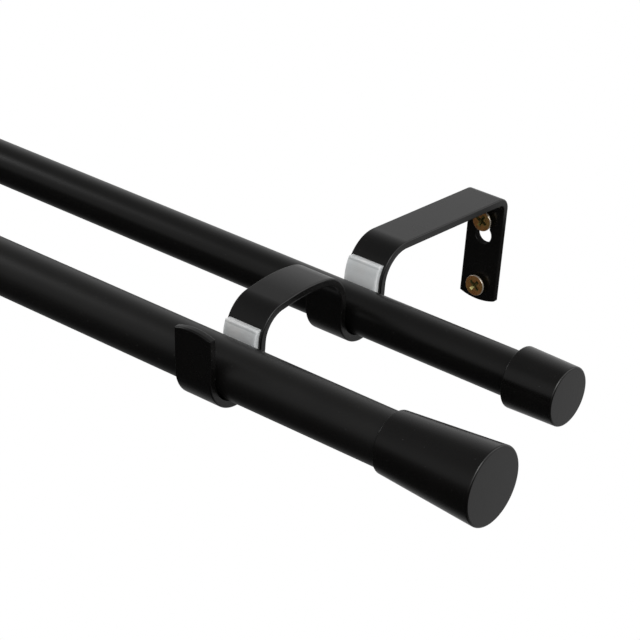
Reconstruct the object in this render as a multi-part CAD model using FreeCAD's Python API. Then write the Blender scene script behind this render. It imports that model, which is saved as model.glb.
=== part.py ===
import FreeCAD, Part
import math
import os

from FreeCAD import Vector

# A double curtain pole: two extending poles, one behind the other, on two bent strap brackets.
# Millimetres. X runs along the poles, Y = 0 is the wall's face, -Y is the room and Z is up.
# The origin is the centre of the four wall screws, on the wall's face.

# Poles: each is an outer tube with an inner tube that slides out of its left end
front_outer_diameter = 19.0
back_outer_diameter = 16.0
tube_wall = 0.8
tube_gap = 0.7
outer_tube_length = 686.0
inner_tube_length = 614.0
inner_tube_shown = 56.0

# Bushes in the outer tubes' mouths and glides on the inner tubes' hidden ends
bush_length = 18.0
bush_flange = 1.2
glide_spigot_length = 14.0
glide_collar_length = 8.0
glide_bore_wall = 1.5

# Finials: caps over the pole ends; a flare is how much wider the end is than the mouth
front_finial_length = 38.1
front_finial_wall = 1.2
front_finial_flare = 5.6
front_finial_seat = 16.0
back_finial_length = 19.5
back_finial_wall = 2.8
back_finial_flare = -0.9
back_finial_seat = 14.0
finial_end_round = 0.7
finial_mouth_round = 0.5

# Where the poles lie; the overhangs are of the outer tube's end and mouth past the brackets' middles
tube_overhang = 87.0
mouth_overhang = 31.0
wall_to_back_pole = 84.0
pole_spacing = 65.0
pole_height = 4.2
back_pole_rise = 0.5

# Strap brackets, each bent from one flat bar; bend radii are those of the inside of the bend
strap_width = 15.4
strap_thickness = 2.8
strap_edge_round = 0.5
strap_end_radius = 22.0
plate_drop = 19.1
plate_bend_radius = 2.2
arm_wall_height = 19.7
arm_front_height = 20.1
arm_bend_radius = 10.5
shoulder_bend_radius = 9.0
front_shoulder_height = 16.6
back_shoulder_height = 18.3
crest_height = 20.3
crest_from_front_pole = 35.0
lip_height = 17.1
lip_lean = 5.3
front_cradle_play = 1.0
back_cradle_play = 1.4

# Holes in the wall plate: a keyhole to hang it by and a round hole below to lock it
screw_pitch = 26.0
screw_hole_diameter = 5.0
keyhole_diameter = 7.0
keyhole_drop = 6.0

# Soft pads between the poles and the brackets; the pinch is what is left where a pole presses a pad
pad_thickness = 2.2
pad_pinch = 1.3
pad_side_margin = 1.0
pad_lift = 0.3
front_pad_wrap = 23.0
back_pad_wrap = 32.3

# Wall screws with countersunk cross heads
screw_length = 32.0
screw_neck_diameter = 3.6
screw_thread_diameter = 4.2
screw_tip_length = 6.0
screw_head_diameter = 7.9
screw_head_rim = 0.7
recess_span = 4.8
recess_width = 1.3
recess_depth = 2.0

# Clearances on the radius or on the face
push_clearance = 0.05
running_clearance = 0.08
seat_clearance = 0.1

# How far cutters stand past what they cut, and how near two points are that count as one
overcut = 1.0
touching = 1e-6

# Sizes and places that follow from the ones above
front_inner_diameter = front_outer_diameter - (tube_wall + tube_gap) * 2
back_inner_diameter = back_outer_diameter - (tube_wall + tube_gap) * 2
front_pole_y = -(wall_to_back_pole + pole_spacing)
back_pole_y = -wall_to_back_pole
front_pole_z = pole_height
back_pole_z = pole_height + back_pole_rise
bracket_spacing = outer_tube_length - tube_overhang - mouth_overhang
outer_end_x = bracket_spacing / 2 + tube_overhang
outer_mouth_x = outer_end_x - outer_tube_length
inner_end_x = outer_mouth_x - inner_tube_shown
hidden_end_x = inner_end_x + inner_tube_length
pad_gap = pad_pinch + seat_clearance
half_thickness = strap_thickness / 2


def half_turn_at(before, corner, after):
    """Half the angle by which a line turns at a corner."""
    return (corner - before).getAngle(after - corner) / 2


def rounded_edges(corners, radii):
    """Edges along straight runs between corners, with an arc of the given radius at each inner corner."""
    edges = []
    last = corners[0]
    for before, corner, after, radius in zip(corners, corners[1:], corners[2:], radii):
        arriving = (corner - before).normalize()
        leaving = (after - corner).normalize()
        half_turn = half_turn_at(before, corner, after)
        start = corner - arriving * radius * math.tan(half_turn)
        end = corner + leaving * radius * math.tan(half_turn)
        if (start - last).Length > touching:
            edges.append(Part.makeLine(last, start))
        if radius > 0:
            inward = (leaving - arriving).normalize()
            middle = corner + inward * radius * (1 / math.cos(half_turn) - 1)
            edges.append(Part.Arc(start, middle, end).toShape())
        last = end
    edges.append(Part.makeLine(last, corners[-1]))
    return edges


def shifted(corners, radii, distance):
    """The same bent line moved sideways in the YZ plane, to the left of its own direction."""
    runs = [(b - a).normalize() for a, b in zip(corners, corners[1:])]
    lefts = [Vector(1, 0, 0).cross(run) for run in runs]
    moved = [corners[0] + lefts[0] * distance]
    moved_radii = []
    for i in range(1, len(corners) - 1):
        both = lefts[i - 1] + lefts[i]
        moved.append(corners[i] + both * distance * (2 / both.Length ** 2))
        turns_left = lefts[i - 1].dot(runs[i]) > 0
        moved_radii.append(radii[i - 1] - distance if turns_left else radii[i - 1] + distance)
    moved.append(corners[-1] + lefts[-1] * distance)
    return moved, moved_radii


def turned(corners, y, z, rounds=()):
    """A solid turned about the pole's axis from (x, radius) points, the first inner corners rounded."""
    points = [Vector(x, 0, radius) for x, radius in corners]
    sharp = [0] * (len(corners) - 2 - len(rounds))
    edges = rounded_edges(points, list(rounds) + sharp)
    edges.append(Part.makeLine(points[-1], points[0]))
    solid = Part.Face(Part.Wire(edges)).revolve(Vector(0, 0, 0), Vector(1, 0, 0), 360)
    solid.translate(Vector(0, y, z))
    return solid


def ring(outer_radius, inner_radius, start_x, end_x, y, z):
    """A straight tube along X."""
    length = end_x - start_x
    origin = Vector(start_x, y, z)
    outside = Part.makeCylinder(outer_radius, length, origin, Vector(1, 0, 0))
    inside = Part.makeCylinder(inner_radius, length, origin, Vector(1, 0, 0))
    return outside.cut(inside)


def finial(length, wall, flare, seat, tube_diameter, pole_end_x, side, y, z):
    """A tapered cap with a blind socket, on a pole's right end (side 1) or left end (side -1)."""
    mouth = pole_end_x - side * seat
    end = mouth + side * length
    mouth_radius = tube_diameter / 2 + wall
    socket = tube_diameter / 2 + seat_clearance
    socket_floor = pole_end_x + side * seat_clearance
    outline = [
        (end, 0),
        (end, mouth_radius + flare / 2),
        (mouth, mouth_radius),
        (mouth, socket),
        (socket_floor, socket),
        (socket_floor, 0),
    ]
    return turned(outline, y, z, [finial_end_round, finial_mouth_round])


def reducing_sleeve(outer_diameter, inner_diameter, seat, y, z):
    """A sleeve that lets a finial made for the outer tube seat on the inner tube at the left end."""
    outside = outer_diameter / 2 + seat_clearance - push_clearance
    inside = inner_diameter / 2 + push_clearance
    return ring(outside, inside, inner_end_x, inner_end_x + seat, y, z)


def mouth_bush(outer_diameter, inner_diameter, y, z):
    """A flanged bush in the outer tube's left mouth, in which the inner tube slides."""
    sleeve = outer_diameter / 2 - tube_wall - push_clearance
    bore = inner_diameter / 2 + running_clearance
    flange_x = outer_mouth_x - bush_flange
    outline = [
        (flange_x, bore),
        (flange_x, outer_diameter / 2),
        (outer_mouth_x, outer_diameter / 2),
        (outer_mouth_x, sleeve),
        (outer_mouth_x + bush_length, sleeve),
        (outer_mouth_x + bush_length, bore),
    ]
    return turned(outline, y, z)


def glide(outer_diameter, inner_diameter, y, z):
    """A plug in the inner tube's hidden end, whose collar slides inside the outer tube."""
    collar = outer_diameter / 2 - tube_wall - running_clearance
    spigot = inner_diameter / 2 - tube_wall - push_clearance
    bore = spigot - glide_bore_wall
    outline = [
        (hidden_end_x - glide_spigot_length, bore),
        (hidden_end_x - glide_spigot_length, spigot),
        (hidden_end_x, spigot),
        (hidden_end_x, collar),
        (hidden_end_x + glide_collar_length, collar),
        (hidden_end_x + glide_collar_length, bore),
    ]
    return turned(outline, y, z)


def strap_line():
    """Corners and bend radii of the strap's middle line, from the wall plate's foot to the lip's tip."""
    plate_y = -half_thickness
    middle_z = front_pole_z - half_thickness
    back_rear_y = back_pole_y + back_outer_diameter / 2 + pad_gap + half_thickness
    back_front_y = back_pole_y - back_outer_diameter / 2 - back_cradle_play - half_thickness
    back_floor_z = back_pole_z - back_outer_diameter / 2 - seat_clearance - half_thickness
    back_radius = (back_rear_y - back_front_y) / 2
    front_rear_y = front_pole_y + front_outer_diameter / 2 + pad_gap + half_thickness
    front_floor_z = front_pole_z - front_outer_diameter / 2 - seat_clearance - half_thickness
    front_radius = (front_outer_diameter + pad_gap + front_cradle_play + strap_thickness) / 2
    lean = math.radians(lip_lean)
    lip_foot_y = front_rear_y - front_radius * (1 + math.tan((math.pi / 2 - lean) / 2))
    lip_z = front_pole_z + lip_height
    lip_y = lip_foot_y - (lip_z - front_floor_z) * math.tan(lean)
    back_shoulder = Vector(0, back_front_y, middle_z + back_shoulder_height)
    crest = Vector(0, front_pole_y + crest_from_front_pole, middle_z + crest_height)
    front_shoulder = Vector(0, front_rear_y, middle_z + front_shoulder_height)
    corners = [
        Vector(0, plate_y, -plate_drop),
        Vector(0, plate_y, middle_z + arm_wall_height),
        Vector(0, back_rear_y, middle_z + arm_front_height),
        Vector(0, back_rear_y, back_floor_z),
        Vector(0, back_front_y, back_floor_z),
        back_shoulder,
        crest,
        front_shoulder,
        Vector(0, front_rear_y, front_floor_z),
        Vector(0, lip_foot_y, front_floor_z),
        Vector(0, lip_y, lip_z),
    ]
    back_bend = arm_bend_radius + half_thickness
    front_bend = shoulder_bend_radius + half_thickness
    back_run = (crest - back_shoulder).Length
    back_run -= back_bend * math.tan(half_turn_at(corners[4], back_shoulder, crest))
    front_run = (crest - front_shoulder).Length
    front_run -= front_bend * math.tan(half_turn_at(crest, front_shoulder, corners[8]))
    crown_half_turn = half_turn_at(back_shoulder, crest, front_shoulder)
    crown_radius = min(back_run, front_run) / math.tan(crown_half_turn)
    radii = [
        plate_bend_radius + half_thickness,
        arm_bend_radius + half_thickness,
        back_radius,
        back_radius,
        back_bend,
        crown_radius,
        front_bend,
        front_radius,
        front_radius,
    ]
    return corners, radii


def end_trimmer():
    """What is cut off a strap end that points down at the origin to leave a shallow round end."""
    half_width = strap_width / 2
    rise = strap_end_radius - math.sqrt(strap_end_radius ** 2 - half_width ** 2)
    depth = strap_thickness + overcut * 2
    corner = Vector(-half_width - overcut, -depth / 2, -overcut)
    block = Part.makeBox(strap_width + overcut * 2, depth, rise + overcut, corner)
    disc_start = Vector(0, -depth / 2, strap_end_radius)
    disc = Part.makeCylinder(strap_end_radius, depth, disc_start, Vector(0, 1, 0))
    return block.cut(disc)


def through_hole(diameter, z):
    """A round cutter through the wall plate at the strap's middle."""
    start = Vector(0, -strap_thickness - overcut, z)
    return Part.makeCylinder(diameter / 2, strap_thickness + overcut * 2, start, Vector(0, 1, 0))


def keyhole():
    """The cutter for the keyhole: a hole that passes the screw's head and a slot up to its seat."""
    seat_z = screw_pitch / 2
    depth = strap_thickness + overcut * 2
    slot_corner = Vector(-screw_hole_diameter / 2, -strap_thickness - overcut, seat_z - keyhole_drop)
    slot = Part.makeBox(screw_hole_diameter, depth, keyhole_drop, slot_corner)
    entry = through_hole(keyhole_diameter, seat_z - keyhole_drop)
    return entry.fuse([slot, through_hole(screw_hole_diameter, seat_z)])


def bracket():
    """One strap bent into a wall plate, an arm, a back cradle, a crowned hump, a front cradle and a lip."""
    corners, radii = strap_line()
    left_corners, left_radii = shifted(corners, radii, half_thickness)
    right_corners, right_radii = shifted(corners, radii, -half_thickness)
    right_corners.reverse()
    right_radii.reverse()
    edges = rounded_edges(left_corners, left_radii)
    edges.append(Part.makeLine(left_corners[-1], right_corners[0]))
    edges.extend(rounded_edges(right_corners, right_radii))
    edges.append(Part.makeLine(right_corners[-1], left_corners[0]))
    solid = Part.Face(Part.Wire(edges)).extrude(Vector(strap_width, 0, 0))
    solid.translate(Vector(-strap_width / 2, 0, 0))
    foot_trimmer = end_trimmer()
    foot_trimmer.translate(corners[0])
    lip_trimmer = end_trimmer()
    lip_trimmer.rotate(Vector(0, 0, 0), Vector(1, 0, 0), 180 + lip_lean)
    lip_trimmer.translate(corners[-1])
    solid = solid.cut([foot_trimmer, lip_trimmer])
    solid = with_round_edges(solid)
    return solid.cut([keyhole(), through_hole(screw_hole_diameter, -screw_pitch / 2)])


def with_round_edges(solid):
    """Softens the strap's long edges, which lie in its two side planes."""

    def on_side(edge):
        box = edge.BoundBox
        return box.XLength < touching and abs(abs(box.XMin) - strap_width / 2) < touching

    def is_end(edge):
        return isinstance(edge.Curve, Part.Line) and abs(edge.Length - strap_thickness) < touching

    long_edges = [edge for edge in solid.Edges if on_side(edge) and not is_end(edge)]
    return solid.makeFillet(strap_edge_round, long_edges)


def pad(pole_y, pole_z, pole_diameter, wrap):
    """A soft strip on a cradle rear wall, bent over the start of the bend above and pressed by the pole."""
    corners, radii = shifted(*strap_line(), -half_thickness)
    face_y = pole_y + pole_diameter / 2 + pad_gap
    corner = next(i for i, point in enumerate(corners) if math.isclose(point.y, face_y))
    bend_radius = radii[corner - 1]
    upper_half_turn = half_turn_at(*corners[corner - 1:corner + 2])
    bend_z = corners[corner].z - bend_radius * math.tan(upper_half_turn)
    lower_half_turn = half_turn_at(*corners[corner:corner + 3])
    wall_z = corners[corner + 1].z + radii[corner] * math.tan(lower_half_turn)
    centre = Vector(0, face_y + bend_radius, bend_z)

    def on_bend(radius, angle):
        turn = math.radians(angle)
        return centre + Vector(0, -radius * math.cos(turn), radius * math.sin(turn))

    inner = bend_radius
    outer = bend_radius + pad_thickness
    outer_wrap = wrap * inner / outer
    low_inner = Vector(0, face_y, wall_z + pad_lift)
    low_outer = low_inner - Vector(0, pad_thickness, 0)
    edges = [
        Part.makeLine(low_outer, on_bend(outer, 0)),
        Part.Arc(on_bend(outer, 0), on_bend(outer, outer_wrap / 2), on_bend(outer, outer_wrap)).toShape(),
        Part.makeLine(on_bend(outer, outer_wrap), on_bend(inner, wrap)),
        Part.Arc(on_bend(inner, wrap), on_bend(inner, wrap / 2), on_bend(inner, 0)).toShape(),
        Part.makeLine(on_bend(inner, 0), low_inner),
        Part.makeLine(low_inner, low_outer),
    ]
    width = strap_width - pad_side_margin * 2
    solid = Part.Face(Part.Wire(edges)).extrude(Vector(width, 0, 0))
    solid.translate(Vector(-width / 2, 0, 0))
    press_start = Vector(-width / 2 - overcut, pole_y, pole_z)
    press_radius = pole_diameter / 2 + seat_clearance
    press = Part.makeCylinder(press_radius, width + overcut * 2, press_start, Vector(1, 0, 0))
    return solid.cut(press)


def wall_screw():
    """A countersunk screw along +Y, its cone seated in a plate's hole, its thread starting at the wall."""
    neck = screw_neck_diameter / 2
    thread = screw_thread_diameter / 2
    head = screw_head_diameter / 2
    seat_y = -strap_thickness
    cone_top_y = seat_y - (head - screw_hole_diameter / 2 + seat_clearance)
    top_y = cone_top_y - screw_head_rim
    end_y = top_y + screw_length
    outline = [
        (top_y, 0),
        (top_y, head),
        (cone_top_y, head),
        (cone_top_y + head - neck, neck),
        (0, neck),
        (0, thread),
        (end_y - screw_tip_length, thread),
        (end_y, 0),
    ]
    points = [Vector(0, y, radius) for y, radius in outline]
    half_section = Part.Face(Part.makePolygon(points + points[:1]))
    solid = half_section.revolve(Vector(0, 0, 0), Vector(0, 1, 0), 360)
    long_slot = Vector(-recess_span / 2, top_y, -recess_width / 2)
    tall_slot = Vector(-recess_width / 2, top_y, -recess_span / 2)
    recess = Part.makeBox(recess_span, recess_depth, recess_width, long_slot)
    recess = recess.fuse(Part.makeBox(recess_width, recess_depth, recess_span, tall_slot))
    return solid.cut(recess)


def moved(shape, x, z=0.0):
    """A copy of a shape carried to its bracket."""
    copy = shape.copy()
    copy.translate(Vector(x, 0, z))
    return copy


def pole_pieces(name, outer_diameter, inner_diameter, cap, seat, y, z):
    """The tubes, bush, glide, finials and sleeve of one pole."""
    outer = outer_diameter / 2
    inner = inner_diameter / 2
    return {
        name + "_outer_tube": ring(outer, outer - tube_wall, outer_mouth_x, outer_end_x, y, z),
        name + "_inner_tube": ring(inner, inner - tube_wall, inner_end_x, hidden_end_x, y, z),
        name + "_mouth_bush": mouth_bush(outer_diameter, inner_diameter, y, z),
        name + "_glide": glide(outer_diameter, inner_diameter, y, z),
        name + "_finial_right": finial(*cap, seat, outer_diameter, outer_end_x, 1, y, z),
        name + "_finial_left": finial(*cap, seat, outer_diameter, inner_end_x, -1, y, z),
        name + "_finial_sleeve": reducing_sleeve(outer_diameter, inner_diameter, seat, y, z),
    }


def bracket_pieces(side, x):
    """One bracket with its pads and its two wall screws."""
    front_pad = pad(front_pole_y, front_pole_z, front_outer_diameter, front_pad_wrap)
    back_pad = pad(back_pole_y, back_pole_z, back_outer_diameter, back_pad_wrap)
    screw = wall_screw()
    return {
        "bracket_" + side: moved(bracket(), x),
        "front_pad_" + side: moved(front_pad, x),
        "back_pad_" + side: moved(back_pad, x),
        "upper_screw_" + side: moved(screw, x, screw_pitch / 2),
        "lower_screw_" + side: moved(screw, x, -screw_pitch / 2),
    }


front_cap = (front_finial_length, front_finial_wall, front_finial_flare)
back_cap = (back_finial_length, back_finial_wall, back_finial_flare)
pieces = {}
pieces.update(
    pole_pieces(
        "front",
        front_outer_diameter,
        front_inner_diameter,
        front_cap,
        front_finial_seat,
        front_pole_y,
        front_pole_z,
    )
)
pieces.update(
    pole_pieces(
        "back",
        back_outer_diameter,
        back_inner_diameter,
        back_cap,
        back_finial_seat,
        back_pole_y,
        back_pole_z,
    )
)
pieces.update(bracket_pieces("right", bracket_spacing / 2))
pieces.update(bracket_pieces("left", -bracket_spacing / 2))

os.makedirs("parts", exist_ok=True)
for node, shape in pieces.items():
    shape.exportStep("parts/" + node + ".step")
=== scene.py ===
import math

import bmesh
import bpy
from mathutils import Matrix, Vector


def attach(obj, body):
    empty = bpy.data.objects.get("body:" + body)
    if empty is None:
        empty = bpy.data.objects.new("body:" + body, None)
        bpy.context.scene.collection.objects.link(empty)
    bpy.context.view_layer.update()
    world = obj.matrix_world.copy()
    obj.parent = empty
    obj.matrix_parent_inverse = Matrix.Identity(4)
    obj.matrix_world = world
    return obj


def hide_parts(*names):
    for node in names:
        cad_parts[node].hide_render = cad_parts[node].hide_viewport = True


# A double curtain pole on two bent strap brackets. Metres; sizes below are in millimetres.
# X runs along the poles, Y = 0 is the wall's face, -Y is the room and Z is up.

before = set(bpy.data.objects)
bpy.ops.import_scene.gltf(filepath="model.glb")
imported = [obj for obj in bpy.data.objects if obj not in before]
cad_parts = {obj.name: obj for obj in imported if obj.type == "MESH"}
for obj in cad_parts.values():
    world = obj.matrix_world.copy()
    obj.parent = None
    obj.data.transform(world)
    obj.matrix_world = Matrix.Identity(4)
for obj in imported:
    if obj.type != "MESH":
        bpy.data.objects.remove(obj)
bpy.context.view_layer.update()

MM = 0.001

# Poles
POLES = {
    "front": {
        "y": -149.0, "z": 4.2, "outer": 19.0, "inner": 16.0,
        "cap_length": 38.1, "cap_mouth": 21.4, "cap_end": 27.0, "cap_seat": 16.0,
    },
    "back": {
        "y": -84.0, "z": 4.7, "outer": 16.0, "inner": 13.0,
        "cap_length": 19.5, "cap_mouth": 21.6, "cap_end": 20.7, "cap_seat": 14.0,
    },
}
TUBE_WALL = 0.8
TUBE_LIP = 0.2
OUTER_END_X = 371.0
OUTER_MOUTH_X = -315.0
INNER_END_X = -371.0
HIDDEN_END_X = 243.0
CAP_END_ROUND = 0.7
CAP_MOUTH_ROUND = 0.5
SEAT_CLEARANCE = 0.1

# Strap brackets. CROWN_SHARE is a share of the largest bend that fits between the shoulders.
BRACKETS = {"right": 284.0, "left": -284.0}
STRAP_WIDTH = 15.4
STRAP_THICKNESS = 2.8
STRAP_EDGE = 0.5
STRAP_END_RADIUS = 22.0
FOOT_EDGE = 0.2
LIP_EDGE = 0.7
TRIM_SLACK = 0.02
PLATE_DROP = 19.1
PLATE_BEND = 2.2
ARM_WALL_HEIGHT = 19.7
ARM_FRONT_HEIGHT = 20.1
ARM_BEND = 10.5
SHOULDER_BEND = 9.0
FRONT_SHOULDER_HEIGHT = 16.6
BACK_SHOULDER_HEIGHT = 18.3
CREST_HEIGHT = 20.3
CREST_FROM_FRONT_POLE = 35.0
LIP_HEIGHT = 17.1
LIP_LEAN = math.radians(5.3)
FRONT_PLAY = 1.0
BACK_PLAY = 1.4
CROWN_SHARE = 0.999

# Holes and screws. Not sizes but shares: RECESS_FLOOR of the recess's span, the start of the head's painted
# rim highlight also of that span, SECOND_WING of its depth, and TIP_TAPER of the thread's height that is
# lost at the tip.
SCREW_PITCH = 26.0
SCREW_HOLE = 5.0
KEYHOLE = 7.0
KEYHOLE_DROP = 6.0
HOLES_REACH = 16.5
HOLE_ROUND = 0.15
HOLE_ANGLE = math.radians(50)
SCREW_LENGTH = 32.0
SCREW_NECK = 3.6
SCREW_THREAD = 4.2
SCREW_CORE = 3.0
SCREW_TIP = 6.0
SCREW_HEAD = 7.9
SCREW_RIM = 0.7
HEAD_ROUND = 0.25
RIM_ROUND = 0.15
NECK_END = -0.4
CORE_START = 0.2
SCREW_HUB = 0.5
THREAD_PITCH = 1.8
THREAD_START = 0.7
TIP_BARE = 0.6
TIP_END = 0.2
TIP_TAPER = 0.85
RECESS_SPAN = 4.8
RECESS_WIDTH = 1.3
RECESS_DEPTH = 2.0
RECESS_FLOOR = 0.55
SECOND_WING = 0.94
RECESS_TURNS = {"upper": math.radians(24), "lower": math.radians(38)}
# The head's rim gets a pale painted highlight, from this share of the recess's span outwards and down to
# this depth.
RIM_SHEEN_FROM = 0.6
RIM_SHEEN_DEPTH = 0.6
RECESS_SHADE_DEPTH = 0.03
HEAD_SHADE_DEPTH = 0.75

# Pads
PAD_THICKNESS = 2.2
PAD_PINCH = 1.3
PAD_GAP = PAD_PINCH + SEAT_CLEARANCE
PAD_MARGIN = 1.0
PAD_LIFT = 0.3
PAD_EDGE = 0.1
RIB_PITCH = 0.62
RIB_HEIGHT = 0.02
PAD_WRAP = {"front": math.radians(23.0), "back": math.radians(32.3)}

# Surfaces: noise scales, and the depths of the bumps.
COAT_MOTTLE = 70.0
COAT_DUST = 620.0
COAT_BUMP = 0.03
PAD_BUMP = 0.05
PAD_CLOUD = 260.0

# Meshes: steps in each bend and edge, segments round a circle, where edges turn sharp, and how near,
# in metres, two points are that count as one.
BEND_STEPS = {"turned": 5, "strap": 18, "pad": 24}
EDGE_STEPS = {"strap": 5, "trim": 4, "pad": 3, "hole": 3}
SEGMENTS = {"pole": 128, "screw": 64, "hole": 64, "trim": 180, "press": 180, "thread": 28}
STEPS_PER_RIB = 6.0
SHARP_ANGLE = math.radians(36)
SAME_POINT = 1e-7
SAME_SEAM = 1e-6


# Node helpers

def add(tree, kind, feeds=None, **settings):
    """One node with its settings; feeds gives each named input a value or the socket that feeds it."""
    node = tree.nodes.new(kind)
    for name, value in settings.items():
        setattr(node, name, value)
    for key, value in (feeds or {}).items():
        if isinstance(value, bpy.types.NodeSocket):
            tree.links.new(value, node.inputs[key])
        else:
            node.inputs[key].default_value = value
    return node


def maths(tree, operation, first, second=0.0):
    """The result of a sum on one or two values."""
    return add(tree, "ShaderNodeMath", {0: first, 1: second}, operation=operation).outputs[0]


def ramp(tree, value, start, end, low, high):
    """A soft step from low to high as a value goes from start to end."""
    feeds = {"Value": value, "From Min": start, "From Max": end, "To Min": low, "To Max": high}
    return add(tree, "ShaderNodeMapRange", feeds, interpolation_type="SMOOTHSTEP").outputs[0]


SOCKETS = {
    "geometry": "NodeSocketGeometry",
    "size": "NodeSocketFloat",
    "count": "NodeSocketInt",
    "vector": "NodeSocketVector",
    "material": "NodeSocketMaterial",
}


def new_tree(name, kind, inputs, outputs):
    """An empty tree with named sockets, and the sockets that its inputs arrive at."""
    tree = bpy.data.node_groups.new(name, kind)
    for socket, form in inputs.items():
        tree.interface.new_socket(socket, in_out="INPUT", socket_type=SOCKETS[form])
    for socket, form in outputs.items():
        tree.interface.new_socket(socket, in_out="OUTPUT", socket_type=SOCKETS[form])
    return tree, tree.nodes.new("NodeGroupInput").outputs


def shape_tree(name, inputs):
    """A tree that makes a piece from the outline on its object."""
    sockets = {"Outline": "geometry", **inputs, "Finish": "material"}
    return new_tree(name, "GeometryNodeTree", sockets, {"Piece": "geometry"})


def hand_over(tree, given, geometry):
    """Ends a shape tree with real geometry in the piece's finish."""
    real = add(tree, "GeometryNodeRealizeInstances", {"Geometry": geometry})
    feeds = {"Geometry": real.outputs[0], "Material": given["Finish"]}
    dressed = add(tree, "GeometryNodeSetMaterial", feeds)
    tree.links.new(dressed.outputs[0], tree.nodes.new("NodeGroupOutput").inputs[0])


def carried(tree, geometry, place=(0, 0, 0), turn=(0, 0, 0), scale=(1, 1, 1)):
    """Geometry turned, scaled and moved."""
    feeds = {"Geometry": geometry, "Translation": place, "Rotation": turn, "Scale": scale}
    return add(tree, "GeometryNodeTransform", feeds).outputs[0]


def joined(tree, *parts):
    """Several geometries as one."""
    node = tree.nodes.new("GeometryNodeJoinGeometry")
    for part in parts:
        tree.links.new(part, node.inputs[0])
    return node.outputs[0]


def cut(tree, body, *cutters):
    """A body less its cutters."""
    node = add(tree, "GeometryNodeMeshBoolean", operation="DIFFERENCE", solver="EXACT")
    tree.links.new(body, node.inputs["Mesh 1"])
    for cutter in cutters:
        tree.links.new(cutter, node.inputs["Mesh 2"])
    return node.outputs["Mesh"]


def rounded_line(tree, outline, steps):
    """The outline as a curve, each corner rounded to the radius in its own round attribute."""
    line = add(tree, "GeometryNodeMeshToCurve", {"Mesh": outline})
    corner = add(tree, "GeometryNodeInputNamedAttribute", {"Name": "round"}, data_type="FLOAT")
    feeds = {"Curve": line.outputs[0], "Count": steps, "Radius": corner.outputs[0]}
    return add(tree, "GeometryNodeFilletCurve", feeds, mode="POLY").outputs[0]


# Shape trees

def turned_tree():
    """Turns an outline of (radius, along) points about its axis, lays the axis along Turn and moves it."""
    tree, given = shape_tree(
        "turned_piece", {"Segments": "count", "Hub": "size", "Turn": "vector", "Place": "vector"}
    )
    outline = rounded_line(tree, given["Outline"], BEND_STEPS["turned"])
    inset = add(tree, "ShaderNodeCombineXYZ", {"X": maths(tree, "MULTIPLY", given["Hub"], -1.0)})
    section = add(tree, "GeometryNodeSetPosition", {"Geometry": outline, "Offset": inset.outputs[0]})
    hub = add(
        tree,
        "GeometryNodeCurvePrimitiveCircle",
        {"Resolution": given["Segments"], "Radius": given["Hub"]},
    )
    feeds = {"Curve": hub.outputs["Curve"], "Profile Curve": section.outputs[0]}
    wall = add(tree, "GeometryNodeCurveToMesh", feeds)
    feeds = {"Geometry": wall.outputs[0], "Distance": SAME_SEAM}
    sealed = add(tree, "GeometryNodeMergeByDistance", feeds)
    hand_over(tree, given, carried(tree, sealed.outputs[0], given["Place"], given["Turn"]))
    return tree


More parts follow.
